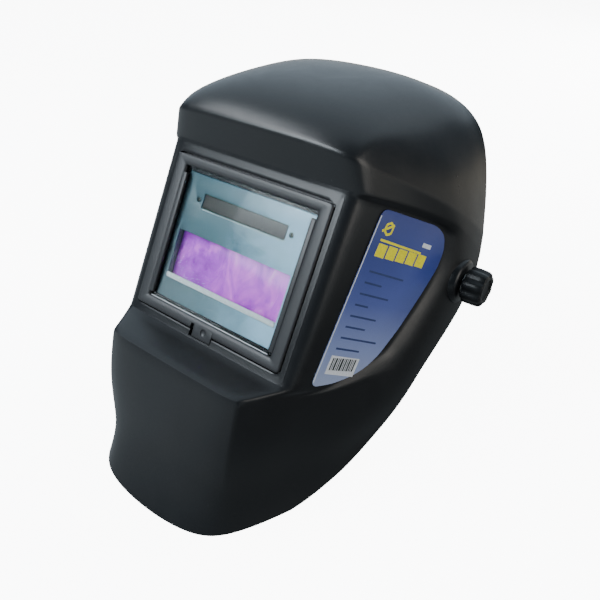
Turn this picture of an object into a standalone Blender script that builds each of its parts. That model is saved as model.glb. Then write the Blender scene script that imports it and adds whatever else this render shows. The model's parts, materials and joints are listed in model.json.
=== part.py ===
"""Auto-darkening welding helmet: a moulded face shell, the filter cartridge in its window, a cover
lens in a swing-out frame, and a ratchet head harness that the shell tips up on.

Shell and harness are drawn upright in millimetres: X to the wearer's left, Y backwards from the
window panel, Z up along it, from the middle of the window. A parent empty then leans the helmet
back on its lower rim and on the harness's ratchet knob, the way it lies on a bench.
"""

import math

import bmesh
import bpy
from mathutils import Matrix, Vector

MM = 0.001

# The bench pose.
LEAN = math.radians(30.57)
RIM_BELOW_WINDOW = 157.0
BENCH_SHIFT_Y = -76.7

# The shell.
WALL = 2.5
PIVOT_Y, PIVOT_Z = 122.0, 30.0

# Half of the shell's control cage, wearer's left, one row to a line from crown to lip. Each row runs
# from the middle of the face out round the corner and back along the side to the rear edge.
CAGE = {
    "crown edge": [(0, 106, 158.5), (22, 106, 158), (40, 106, 156.5), (53, 106, 154.5), (62, 106.5, 152.5),
                   (70, 107.5, 150), (77, 109, 147), (83, 110.5, 143.5), (88, 112.5, 139.5), (93, 115.5, 134)],
    "crown rear": [(0, 84, 156), (25, 84, 155.5), (46, 84, 153), (60, 85, 149.5), (69, 86, 146),
                   (77, 89, 142), (84, 94, 136.5), (90, 100, 131), (95, 108, 126), (99, 118.5, 123.5)],
    "crown middle": [(0, 52, 142.5), (28, 52, 141.5), (50, 52, 138), (63, 53, 132.5), (73, 57, 128),
                     (82, 66, 124), (90, 78, 119), (96, 90, 115), (101, 104, 112), (104, 122, 110)],
    "crown front": [(0, 14, 121), (34, 14, 120), (57, 15, 115.5), (69, 19, 110), (79, 30, 106.5),
                    (88, 46, 104.5), (97, 66, 102), (102, 85, 100), (106, 105, 98), (108, 127, 95)],
    "over the brow": [(0, -8, 100.5), (36, -8, 100), (61, -6.5, 97), (73.5, -1, 94.5), (79.5, 14, 93),
                      (90, 38, 92), (100.5, 66, 90), (106, 88, 87), (109.5, 109, 84), (111.5, 130.5, 80)],
    "brow ridge": [(0, -13.5, 84), (36, -13, 84), (62, -11.5, 83.5), (75, -6, 82.5), (81, 9, 81),
                   (91, 36, 79.5), (103, 70, 77.5), (109, 93, 74.5), (113, 115, 71), (114.5, 134, 66)],
    "brow foot": [(0, -0.6, 64.6), (38, -0.6, 64.6), (66, -0.4, 64.6), (79.5, 3, 64.8), (84, 14, 65.8),
                  (94.5, 50, 68), (106.5, 86, 67.5), (111, 99, 65), (114.5, 119, 60), (116, 138, 53)],
    "panel top": [(0, 0, 62), (38, 0, 62), (66, 0, 62), (77.5, 3, 62), (82.4, 17, 63),
                  (92.6, 51, 64), (103.5, 87.5, 62), (111.5, 99.5, 57), (115.3, 120, 48), (116.8, 140, 42)],
    "panel upper": [(0, 0, 28), (38, 0, 28), (66, 0, 28), (77.5, 3, 28), (82.2, 18.5, 30),
                    (94.5, 60, 36), (105.7, 97, 38), (113, 105.5, 38), (116.5, 121.5, 33), (117.4, 139.5, 27)],
    "panel lower": [(0, 0, -22), (38, 0, -22), (66, 0, -22), (77.3, 3, -22), (81.4, 18.5, -20),
                    (92.4, 55, -9), (103, 90, 9), (110.5, 98, 8), (114.8, 115, 8), (117, 133, 5)],
    "panel foot": [(0, 0, -62.3), (38, 0, -62.3), (66, 0, -62.3), (77, 3, -62.3), (80, 17.5, -62.3),
                   (87.2, 41, -57), (97.6, 74, -30), (107.5, 87.5, -22), (112.8, 104, -18), (115.5, 123, -16)],
    "chin ridge": [(0, -26.5, -75), (30, -26.3, -75), (49, -25.5, -75), (58, -22.5, -75), (70.5, -3.5, -71.5),
                   (86, 33, -63.5), (101, 73, -44), (107, 86, -40), (111.5, 99, -40), (113.5, 112, -40)],
    "chin middle": [(0, -19, -112), (28, -18.7, -112), (48, -17.7, -112), (58.3, -14.5, -111), (69, 1, -108),
                    (80, 26, -101), (91.5, 50, -91), (100, 69, -83), (106.5, 88, -75), (110.5, 105, -67)],
    "over the lip": [(0, -4, -150), (24, -3.5, -150), (43, -1.5, -149), (54, 2.5, -147.5), (64, 14, -142),
                     (74, 33, -133.5), (84, 51, -123), (91.5, 66, -113), (98, 81, -103), (104.5, 96, -92)],
    "lip": [(0, -6, -188), (22, -5, -187.5), (42, -1.5, -185.5), (56, 5, -181.5), (66, 16, -175),
            (75, 30, -166.8), (82.5, 45, -156.5), (88.5, 58, -145), (93.5, 70, -132), (98, 81, -119)],
}

ROW_CREASES = {"brow ridge": 0.55, "brow foot": 0.8, "panel top": 0.8, "panel foot": 0.85, "chin ridge": 0.5}
COLUMN_CREASES = (
    {"column": 3, "rows": ("chin ridge", "chin middle", "over the lip"), "sharpness": 0.35},
    {"column": 6, "rows": ("panel top", "panel upper", "panel lower", "panel foot"), "sharpness": 0.85},
)

# The window, measured in the panel.
RECESS_W, RECESS_TOP, RECESS_FOOT, RECESS_DEPTH = 132.8, 55.4, -55.8, 4.2
LENS_W, LENS_TOP, LENS_FOOT = 113.0, 47.6, -47.8
TRAY_BACK = 7.0
FRAME_HINGE_Y, FRAME_HINGE_Z = 0.4, 53.9

# The filter cartridge.
CARTRIDGE_W, CARTRIDGE_H, CARTRIDGE_Z = 110.0, 90.0, -0.3
CARTRIDGE_FRONT, CARTRIDGE_JOINT, CARTRIDGE_BACK = 4.6, 8.8, 15.5
VIEW_W, VIEW_TOP, VIEW_FOOT = 99.0, 4.0, -28.8
DIAL_X, DIAL_Z = 44.0, 28.0
HOLDER_SCREW_X = 64.0

# The harness, drawn in its own plane from the pivot: X left, Y back, Z up.
BAND_X, BAND_T, BAND_H = 84.2, 1.6, 24.0
BAND_FRONT, NAPE_R, NAPE_Y = -58.0, 80.0, 61.0
STRAP_T = 1.8
KNOB_BACK, KNOB_R, KNOB_BEVEL = 163.0, 17.0, 1.2
PIVOT_ABOVE_RIM = RIM_BELOW_WINDOW - PIVOT_Y * math.sin(LEAN) + PIVOT_Z * math.cos(LEAN)
RIM_OUT, RIM_UP = KNOB_BACK - KNOB_BEVEL, KNOB_R - KNOB_BEVEL
HARNESS_TILT = (math.asin((PIVOT_ABOVE_RIM - KNOB_BEVEL) / math.hypot(RIM_OUT, RIM_UP))
                - math.atan2(RIM_UP, RIM_OUT) - LEAN)
PINION_TEETH, PINION_PITCH_R = 10, 5.0
TOOTH = 2 * math.pi * PINION_PITCH_R / PINION_TEETH
RACK_TIP, RACK_ROOT, RACK_EDGE = 4.6, 6.2, 9.6


def scene_cleared():
    for obj in list(bpy.data.objects):
        bpy.data.objects.remove(obj)


scene_cleared()
PARTS = bpy.data.collections.new("welding_helmet")
CUTTERS = bpy.data.collections.new("cutters")
for group in (PARTS, CUTTERS):
    bpy.context.scene.collection.children.link(group)


def empty(name, parent=None, at=(0, 0, 0), tilt=0.0):
    obj = bpy.data.objects.new(name, None)
    PARTS.objects.link(obj)
    obj.parent = parent
    obj.location = Vector(at) * MM
    obj.rotation_euler.x = tilt
    return obj


def look(name, colour, roughness, metallic=0.0, transmission=0.0):
    made = bpy.data.materials.get(name) or bpy.data.materials.new(name)
    made.use_nodes = True
    shader = made.node_tree.nodes["Principled BSDF"].inputs
    shader["Base Color"].default_value = (*colour, 1)
    shader["Roughness"].default_value = roughness
    shader["Metallic"].default_value = metallic
    shader["Transmission Weight"].default_value = transmission
    return made


BLACK = look("black_polypropylene", (0.012, 0.013, 0.015), 0.42)
DARK = look("dark_nylon", (0.03, 0.03, 0.032), 0.5)
GREY = look("grey_polyethylene", (0.10, 0.10, 0.11), 0.55)
CLEAR = look("clear_polycarbonate", (0.9, 0.93, 0.93), 0.05, transmission=1.0)
VIOLET = look("coated_filter_glass", (0.62, 0.32, 0.62), 0.12)
DISPLAY = look("liquid_crystal_glass", (0.05, 0.08, 0.06), 0.1)
CELL = look("solar_cell", (0.05, 0.045, 0.04), 0.25)
BOARD = look("circuit_board", (0.02, 0.16, 0.06), 0.5)
STEEL = look("zinc_plated_steel", (0.6, 0.6, 0.58), 0.35, metallic=1.0)
BRASS = look("brass", (0.72, 0.52, 0.22), 0.3, metallic=1.0)
FOAM = look("black_foam", (0.02, 0.02, 0.022), 0.95)
PAPER = look("printed_label", (0.14, 0.2, 0.42), 0.35)
RUBBER = look("black_rubber", (0.015, 0.015, 0.015), 0.8)


def add(name, bm, material, parent, at=(0, 0, 0), turn=(0, 0, 0), group=None, closed=True):
    """Puts a bmesh drawn in millimetres into the scene as an object."""
    bmesh.ops.scale(bm, vec=(MM, MM, MM), verts=bm.verts)
    if closed:
        bmesh.ops.recalc_face_normals(bm, faces=bm.faces)
    mesh = bpy.data.meshes.new(name)
    bm.to_mesh(mesh)
    bm.free()
    if material:
        mesh.materials.append(material)
    obj = bpy.data.objects.new(name, mesh)
    (group or PARTS).objects.link(obj)
    obj.parent = parent
    obj.location = Vector(at) * MM
    obj.rotation_euler = turn
    return obj


def box_mesh(low, high):
    bm = bmesh.new()
    bmesh.ops.create_cube(bm, size=1.0)
    low, high = Vector(low), Vector(high)
    bmesh.ops.scale(bm, vec=high - low, verts=bm.verts)
    bmesh.ops.translate(bm, vec=(low + high) / 2, verts=bm.verts)
    return bm


def rod_mesh(radius, start, end, axis, sides=24):
    """A round bar along axis, from start to end, about a centre line through the origin."""
    bm = bmesh.new()
    bmesh.ops.create_cone(bm, cap_ends=True, segments=sides, radius1=radius, radius2=radius,
                          depth=end - start)
    bmesh.ops.translate(bm, vec=(0, 0, (start + end) / 2), verts=bm.verts)
    turn = {"X": Matrix.Rotation(math.pi / 2, 3, "Y"), "Y": Matrix.Rotation(-math.pi / 2, 3, "X"),
            "Z": Matrix.Identity(3)}[axis]
    bmesh.ops.rotate(bm, matrix=turn, verts=bm.verts)
    return bm


def bevelled(obj, width, segments=1, angle=40):
    bevel = obj.modifiers.new("bevel", "BEVEL")
    bevel.width = width * MM
    bevel.segments = segments
    bevel.limit_method = "ANGLE"
    bevel.angle_limit = math.radians(angle)
    return obj


def combine(obj, bm, operation, parent=None, at=(0, 0, 0), turn=(0, 0, 0), bevel=0.0):
    """Cuts a shape from obj, or joins one to it, with a helper that isn't itself rendered."""
    helper = add(f"{obj.name}_{operation.lower()}", bm, None, parent or obj.parent, at, turn, CUTTERS)
    helper.hide_render = True
    helper.display_type = "WIRE"
    if bevel:
        bevelled(helper, bevel)
    step = obj.modifiers.new(helper.name, "BOOLEAN")
    step.operation = operation
    step.object = helper
    return obj


def cut(obj, bm, **place):
    return combine(obj, bm, "DIFFERENCE", **place)


def join(obj, bm, **place):
    return combine(obj, bm, "UNION", **place)


def box(name, low, high, material, parent, bevel=0.0, **place):
    obj = add(name, box_mesh(low, high), material, parent, **place)
    return bevelled(obj, bevel) if bevel else obj


def strip(name, path, low, high, thickness, material, parent):
    """An upright band along a plan path. Its thickness grows to the right, or to the left if negative."""
    bm = bmesh.new()
    ends = [(bm.verts.new((x, y, low(i))), bm.verts.new((x, y, high(i)))) for i, (x, y) in enumerate(path)]
    for (a, b), (c, d) in zip(ends, ends[1:]):
        bm.faces.new((a, c, d, b))
    obj = add(name, bm, material, parent, closed=False)
    wall = obj.modifiers.new("wall", "SOLIDIFY")
    wall.thickness = abs(thickness) * MM
    wall.offset = 1.0 if thickness > 0 else -1.0
    wall.use_even_offset = True
    return obj


def arc(radius, first, last, count, centre_y=0.0):
    """Plan points round the nape: an angle of 0 is straight back and a positive one is to the left."""
    angles = [first + (last - first) * i / (count - 1) for i in range(count)]
    return [(radius * math.sin(a), centre_y + radius * math.cos(a)) for a in angles]


FLOOR = empty("floor")
BENCH = empty("bench", at=(0, BENCH_SHIFT_Y, RIM_BELOW_WINDOW), tilt=-LEAN)
TIP_UP = empty("shell_pivot", BENCH, (0, PIVOT_Y, PIVOT_Z))
HARNESS = empty("harness_plane", TIP_UP, tilt=-HARNESS_TILT)
CARTRIDGE = empty("cartridge", BENCH, (0, 0, CARTRIDGE_Z))
NAPE = empty("nape", HARNESS, (0, NAPE_Y, 0))


def label_plane(y, z, lift):
    """X of the flat side panel that the label sits in."""
    return 76 + 0.3 * y + 0.02 * z + lift


def shell():
    bm = bmesh.new()
    crease = bm.edges.layers.float.new("crease_edge")
    rows = {name: [bm.verts.new(point) for point in row] for name, row in CAGE.items()}
    names = list(CAGE)
    for upper, lower in zip(names, names[1:]):
        a, b = rows[upper], rows[lower]
        for j in range(len(a) - 1):
            bm.faces.new((a[j], b[j], b[j + 1], a[j + 1]))
    for name, sharpness in ROW_CREASES.items():
        for p, q in zip(rows[name], rows[name][1:]):
            bm.edges.get((p, q))[crease] = sharpness
    for line in COLUMN_CREASES:
        points = [rows[name][line["column"]] for name in line["rows"]]
        for p, q in zip(points, points[1:]):
            bm.edges.get((p, q))[crease] = line["sharpness"]
    bmesh.ops.scale(bm, vec=(MM, MM, MM), verts=bm.verts)
    mesh = bpy.data.meshes.new("shell")
    bm.to_mesh(mesh)
    bm.free()
    mesh.materials.append(BLACK)
    obj = bpy.data.objects.new("shell", mesh)
    PARTS.objects.link(obj)
    obj.parent = BENCH
    mirror = obj.modifiers.new("both sides", "MIRROR")
    mirror.merge_threshold = 1e-5
    smooth = obj.modifiers.new("smooth", "SUBSURF")
    smooth.levels = smooth.render_levels = 1
    wall = obj.modifiers.new("wall", "SOLIDIFY")
    wall.thickness = WALL * MM
    wall.offset = -1.0
    window_tray(obj)
    for side in (-1, 1):
        pivot_boss(obj, side)
    return cut(obj, box_mesh((-200, -300, -100), (200, 300, 0)), parent=FLOOR)


def window_tray(obj):
    """The recess for the lens frame, with a ledge that the cartridge shows through."""
    half = RECESS_W / 2
    join(obj, box_mesh((-half - 3.6, 1.3, RECESS_FOOT - 3.6), (half + 3.6, TRAY_BACK, RECESS_TOP + 3.6)))
    cut(obj, box_mesh((-half, -8, RECESS_FOOT), (half, RECESS_DEPTH, RECESS_TOP)))
    opening = Vector((CARTRIDGE_W / 2 + 0.6, 0, CARTRIDGE_H / 2 + 0.6))
    cut(obj, box_mesh((-opening.x, -5, CARTRIDGE_Z - opening.z), (opening.x, 20, CARTRIDGE_Z + opening.z)))
    cut(obj, box_mesh((-9.6, -5, -60.8), (9.6, 3.4, RECESS_FOOT + 2)))
    cut(obj, rod_mesh(1.5, -69.2, 69.2, "X", 12), at=(0, FRAME_HINGE_Y, FRAME_HINGE_Z))
    for side in (-1, 1):
        cut(obj, rod_mesh(1.9, 4.8, 12, "Y", 12), at=(side * HOLDER_SCREW_X, 0, 0))


def pivot_boss(obj, side):
    """A flat round seat for the tension knob, its bolt hole, relief for the stop plate that the shell
    turns round, and the lug that meets that plate."""
    place = {"at": (0, PIVOT_Y, PIVOT_Z)}
    join(obj, rod_mesh(15.0, *sorted((side * 113.0, side * 117.8)), "X", 32), **place)
    cut(obj, rod_mesh(14.2, *sorted((side * 100.0, side * 113.2)), "X", 32), **place)
    cut(obj, rod_mesh(18.8, *sorted((side * 98.0, side * 110.4)), "X", 40), **place)
    cut(obj, rod_mesh(4.0, *sorted((side * 90.0, side * 130.0)), "X", 20), **place)
    start, end = sorted((side * 108.2, side * 114.5))
    join(obj, box_mesh((start, -0.2, 12.5), (end, 4.0, 16.5)), parent=HARNESS)


def label(side):
    """A thin printed sheet on the flat side panel, pointed at its foot."""
    outline = [(25, 61), (82, 60.5), (88, 56), (92, 48), (92, 36), (86, 14), (77, -12), (67, -34),
               (58, -43.5), (47, -50.5), (34, -55.5), (18.5, -58.5)]
    bm = bmesh.new()
    inner = [bm.verts.new((label_plane(y, z, 0.6), y, z)) for y, z in outline]
    bottom = bm.faces.new(inner)
    made = bmesh.ops.extrude_face_region(bm, geom=[bottom])
    moved = [v for v in made["geom"] if isinstance(v, bmesh.types.BMVert)]
    bmesh.ops.translate(bm, vec=(0.4, -0.12, 0), verts=moved)
    if side < 0:
        bmesh.ops.scale(bm, vec=(-1, 1, 1), verts=bm.verts)
    name = "label_left" if side > 0 else "label_right"
    return add(name, bm, PAPER, BENCH)


def lens_frame():
    """The frame that swings out by its top pins, with a rebate for the cover lens and a finger tab."""
    half = RECESS_W / 2 - 0.7
    obj = box("lens_frame", (-half, -0.8, RECESS_FOOT + 0.7), (half, 3.9, RECESS_TOP - 0.8), DARK, BENCH,
              bevel=0.5)
    cut(obj, box_mesh((-LENS_W / 2, -5, LENS_FOOT), (LENS_W / 2, 9, LENS_TOP)))
    cut(obj, box_mesh((-LENS_W / 2 - 2.6, 2.0, LENS_FOOT - 2.5), (LENS_W / 2 + 2.6, 9, LENS_TOP + 2.5)))
    join(obj, box_mesh((-8.5, -1.6, -60.0), (8.5, 2.8, -50.5)), bevel=0.4)
    for side in (-1, 1):
        start, end = sorted((side * (half - 2), side * 68.7))
        join(obj, rod_mesh(1.1, start, end, "X", 12), at=(0, FRAME_HINGE_Y, FRAME_HINGE_Z))
    box("cover_lens", (-LENS_W / 2 - 2.2, 2.3, LENS_FOOT - 2.1), (LENS_W / 2 + 2.2, 3.7, LENS_TOP + 2.1),
        CLEAR, BENCH)


def filter_cartridge():
    w, h = CARTRIDGE_W / 2, CARTRIDGE_H / 2
    view = (-VIEW_W / 2, VIEW_FOOT - CARTRIDGE_Z), (VIEW_W / 2, VIEW_TOP - CARTRIDGE_Z)
    front = box("filter_front_housing", (-w, CARTRIDGE_FRONT, -h), (w, CARTRIDGE_JOINT, h), BLACK, CARTRIDGE,
                bevel=0.6)
    cut(front, box_mesh((-w + 1.6, CARTRIDGE_FRONT + 1.4, -h + 1.6), (w - 1.6, 12, h - 1.6)))
    cut(front, box_mesh((view[0][0], 0, view[0][1]), (view[1][0], 12, view[1][1])))
    cut(front, box_mesh((-36.6, 0, 23.0), (36.6, 12, 33.2)))
    for side in (-1, 1):
        cut(front, rod_mesh(1.9, 0, 12, "Y", 12), at=(side * 40.5, 0, 28))
    rear = box("filter_rear_housing", (-w, CARTRIDGE_JOINT + 0.3, -h), (w, CARTRIDGE_BACK, h), BLACK, CARTRIDGE,
               bevel=0.6)
    cut(rear, box_mesh((-w + 1.6, 5, -h + 1.6), (w - 1.6, CARTRIDGE_BACK - 1.6, h - 1.6)))
    cut(rear, box_mesh((view[0][0] + 1, 5, view[0][1] - 1), (view[1][0] - 1, 20, view[1][1] + 1)))
    for side in (-1, 1):
        cut(rear, rod_mesh(3.3, 5, 20, "Y", 16), at=(side * DIAL_X, 0, DIAL_Z))
    bezel = box("view_bezel", (view[0][0] - 2, 6.3, view[0][1] - 2), (view[1][0] + 2, 10.3, view[1][1] + 2),
                DARK, CARTRIDGE)
    cut(bezel, box_mesh((view[0][0], 5, view[0][1]), (view[1][0], 12, view[1][1])))
    for name, near, far, material in (("uv_ir_filter_glass", 10.6, 11.7, VIOLET),
                                      ("lcd_shutter", 12.0, 13.4, DISPLAY)):
        box(name, (view[0][0] - 2, near, view[0][1] - 2), (view[1][0] + 2, far, view[1][1] + 2), material,
            CARTRIDGE)
    box("solar_cell", (-36, CARTRIDGE_FRONT + 0.3, 23.5), (36, CARTRIDGE_FRONT + 1.5, 32.7), CELL, CARTRIDGE)
    box("circuit_board", (-50, 6.8, 9), (50, 8.0, 41), BOARD, CARTRIDGE)
    for name, side in (("left", 1), ("right", -1)):
        add(f"light_sensor_{name}", rod_mesh(1.5, 4.9, 6.4, "Y", 12), DISPLAY, CARTRIDGE, (side * 40.5, 0, 28))
        add(f"battery_{name}", rod_mesh(10.0, 8.6, 11.8, "Y", 20), STEEL, CARTRIDGE, (side * 20, 0, 25))
    holder = box("cartridge_holder", (-60, TRAY_BACK + 0.4, -50), (60, 18.0, 50), DARK, CARTRIDGE, bevel=1.0)
    cut(holder, box_mesh((-w - 0.7, 3, -h - 0.7), (w + 0.7, CARTRIDGE_BACK + 0.5, h + 0.7)))
    cut(holder, box_mesh((-52, 3, -42), (52, 20, 42)))
    for name, side in (("left", 1), ("right", -1)):
        low, high = sorted((side * 58.5, side * 68.4))
        join(holder, box_mesh((low, TRAY_BACK + 0.4, -7), (high, 10.4, 7)))
        cut(holder, rod_mesh(1.9, 2, 25, "Y", 12), at=(side * HOLDER_SCREW_X, 0, 0.3))
        screw = add(f"holder_screw_{name}", rod_mesh(3.1, 10.8, 12.8, "Y", 16), STEEL, CARTRIDGE,
                    (side * HOLDER_SCREW_X, 0, 0.3))
        join(screw, rod_mesh(1.5, 5.2, 11.5, "Y", 12), at=(side * HOLDER_SCREW_X, 0, 0.3))
        dial = add(f"{'sensitivity' if side > 0 else 'delay'}_dial", rod_mesh(5.6, 15.9, 19.2, "Y", 20), DARK,
                   CARTRIDGE, (side * DIAL_X, 0, DIAL_Z))
        join(dial, rod_mesh(2.9, 12.6, 17.0, "Y", 16), at=(side * DIAL_X, 0, DIAL_Z))
        cut(dial, box_mesh((-0.6, 18.2, -8), (0.6, 22, 8)), at=(side * DIAL_X, 0, DIAL_Z))
    box("inner_cover_lens", (-51, CARTRIDGE_BACK + 0.3, -36), (51, CARTRIDGE_BACK + 1.5, 12), CLEAR, CARTRIDGE)


def band_plan():
    """Outer side of the head band: an arc at each rear end, straight sides and an oval forehead."""
    rear = arc(BAND_X, 1.15, math.pi / 2, 4, NAPE_Y)
    forehead = [(BAND_X * math.cos(a), BAND_FRONT * math.sin(a)) for a in
                [math.pi * i / 22 for i in range(23)]]
    return rear + [(BAND_X, NAPE_Y / 2)] + forehead + [(-BAND_X, NAPE_Y / 2)] + [(-x, y) for x, y in rear[::-1]]


def head_band():
    path = band_plan()

    def top(i):
        return BAND_H / 2 + 12 * max(0.0, -path[i][1] / -BAND_FRONT)

    band = strip("head_band", path, lambda i: -BAND_H / 2, top, BAND_T, GREY, HARNESS)
    for side in (-1, 1):
        start, end = sorted((side * 70, side * 100))
        for y in (25, 37):
            cut(band, rod_mesh(2.3, start, end, "X", 12), at=(0, y, 0))
    inset = BAND_T + 0.6
    front = [((BAND_X - inset) * math.cos(a), (BAND_FRONT + inset) * math.sin(a)) for a in
             [math.pi * (4 + i) / 22 for i in range(15)]]
    strip("sweatband", front, lambda i: -13, lambda i: 21, 5.5, FOAM, HARNESS)


def crown_strap(name, side, rise, reach):
    """Half of the strap over the head. The two halves lap at the top, where two studs join them."""
    across, count = BAND_X - BAND_T - 3.3, 12
    path = [(across, -9.0)] + [(across * math.cos(a), rise * math.sin(a)) for a in
                               [(math.pi / 2 + reach) * i / (count - 1) for i in range(count)]]
    bm = bmesh.new()
    pairs = [(bm.verts.new((side * x, -8.0, z)), bm.verts.new((side * x, 10.0, z))) for x, z in path]
    for (a, b), (c, d) in zip(pairs, pairs[1:]):
        bm.faces.new((a, c, d, b))
    obj = add(name, bm, GREY, HARNESS)
    wall = obj.modifiers.new("wall", "SOLIDIFY")
    wall.thickness = 1.5 * MM
    wall.offset = 0.0
    return obj


def crown():
    upper = crown_strap("crown_strap_left", 1, 81.5, 0.25)
    lower = crown_strap("crown_strap_right", -1, 79.0, 0.25)
    for name, x in (("left", 9.0), ("right", -9.0)):
        for strap in (upper, lower):
            cut(strap, rod_mesh(2.4, 60, 100, "Z", 12), at=(x, 1, 0))
        stud = add(f"crown_stud_{name}", rod_mesh(4.2, 83.0, 84.6, "Z", 16), GREY, HARNESS, (x, 1, 0))
        join(stud, rod_mesh(2.0, 75.5, 83.6, "Z", 12), at=(x, 1, 0))
        join(stud, rod_mesh(3.4, 75.0, 76.8, "Z", 16), at=(x, 1, 0))


def side_fittings(name, side):
    """What joins the harness to the shell at one ear, from the band outwards."""
    def across(low, high):
        return sorted((side * low, side * high))

    path = [(84.7, 44), (84.7, 19), (101.6, 12), (101.6, -13)]
    bracket = strip(f"side_bracket_{name}", [(side * x, y) for x, y in path], lambda i: -10, lambda i: 10,
                    -side * 2.8, DARK, HARNESS)
    cut(bracket, box_mesh((across(95, 115)[0], -3.4, -3.4), (across(95, 115)[1], 3.4, 3.4)))
    for end, y in (("front", 25), ("rear", 37)):
        cut(bracket, rod_mesh(2.3, *across(80, 95), "X", 12), at=(0, y, 0))
        rivet = add(f"bracket_rivet_{name}_{end}", rod_mesh(3.6, *across(87.9, 89.4), "X", 14), STEEL, HARNESS,
                    (0, y, 0))
        join(rivet, rod_mesh(1.9, *across(81.6, 88.5), "X", 12), at=(0, y, 0))
        join(rivet, rod_mesh(3.2, *across(81.2, 82.3), "X", 14), at=(0, y, 0))
    bolt = add(f"pivot_bolt_{name}", rod_mesh(7.0, *across(98.4, 101.2), "X", 20), STEEL, HARNESS)
    join(bolt, box_mesh((across(101, 109)[0], -3.0, -3.0), (across(101, 109)[1], 3.0, 3.0)))
    join(bolt, rod_mesh(3.0, *across(108, 127), "X", 16))
    limit = add(f"limit_plate_{name}", rod_mesh(12.5, *across(105.0, 106.6), "X", 24), DARK, HARNESS)
    for low, high, foot in ((105.0, 106.6, 9.0), (105.0, 109.6, 11.3)):
        start, end = across(low, high)
        join(limit, box_mesh((start, -4.6, foot), (end, -0.6, 17.5)))
    cut(limit, box_mesh((across(100, 115)[0], -3.4, -3.4), (across(100, 115)[1], 3.4, 3.4)))
    for part, radius, low, high, material in (("friction_washer", 10.5, 107.1, 112.8, RUBBER),
                                              ("steel_washer", 9.0, 118.2, 119.2, STEEL)):
        washer = add(f"{part}_{name}", rod_mesh(radius, *across(low, high), "X", 24), material, HARNESS)
        cut(washer, rod_mesh(4.4 if low < 109 else 3.4, *across(90, 130), "X", 16))
    knob = add(f"tension_knob_{name}", fluted_mesh(13.5, 1.1, 8, 48, *across(119.6, 134.8)), BLACK, TIP_UP)
    bevelled(knob, 1.2, 2, 50)
    cut(knob, rod_mesh(3.5, *across(115, 128.5), "X", 16))
    cut(knob, rod_mesh(6.6, *across(115, 124.0), "X", 6))
    nut = add(f"knob_nut_{name}", rod_mesh(6.1, *across(119.9, 123.6), "X", 6), BRASS, TIP_UP)
    cut(nut, rod_mesh(3.25, *across(110, 130), "X", 16))


def fluted_mesh(radius, depth, lobes, sides, start, end):
    """A grip along X whose rim rises and falls in lobes."""
    bm = rod_mesh(radius, start, end, "X", sides)
    for vert in bm.verts:
        angle = math.atan2(vert.co.z, vert.co.y)
        vert.co.yz = vert.co.yz * (1 - depth / radius * (0.5 - 0.5 * math.cos(lobes * angle)))
    return bm


def rack_strap(name, side):
    """One nape strap: a full band at the side, then a narrow toothed rack that runs into the ratchet."""
    pitch = TOOTH / NAPE_R
    teeth_each_side = 4
    plan = []
    for tooth in range(-teeth_each_side, 12):
        plan += [((tooth + step) * pitch, edge) for step, edge in
                 ((-0.21, RACK_ROOT), (-0.07, RACK_TIP), (0.07, RACK_TIP), (0.21, RACK_ROOT))]
    plan += [(angle, -RACK_EDGE + 0.6) for angle in (0.56, 0.75, 0.95, 1.15, 1.42)]
    path = [(side * NAPE_R * math.sin(angle), NAPE_R * math.cos(angle)) for angle, edge in plan]
    ends = [sorted((side * edge, side * RACK_EDGE)) for angle, edge in plan]
    return strip(name, path, lambda i: ends[i][0], lambda i: ends[i][1], -side * STRAP_T, GREY, NAPE)


def pinion_mesh():
    """A spur pinion on the ratchet's axis, drawn as one outline pushed along Y."""
    bm = bmesh.new()
    root, tip = PINION_PITCH_R - 1.5, PINION_PITCH_R + 0.9
    outline = []
    for k in range(PINION_TEETH):
        middle = 2 * math.pi * (k + 0.5) / PINION_TEETH
        for radius, offset in ((root, -0.17), (tip, -0.07), (tip, 0.07), (root, 0.17)):
            outline.append((radius * math.sin(middle + offset), radius * math.cos(middle + offset)))
    face = bm.faces.new([bm.verts.new((x, NAPE_R - 2.0, z)) for x, z in outline])
    made = bmesh.ops.extrude_face_region(bm, geom=[face])
    moved = [v for v in made["geom"] if isinstance(v, bmesh.types.BMVert)]
    bmesh.ops.translate(bm, vec=(0, 3.4, 0), verts=moved)
    return bm


def curved_block(name, inner, outer, low, high, spread, material, count=9):
    path = arc(inner, -spread, spread, count)
    return strip(name, path, lambda i: low, lambda i: high, inner - outer, material, NAPE)


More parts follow.
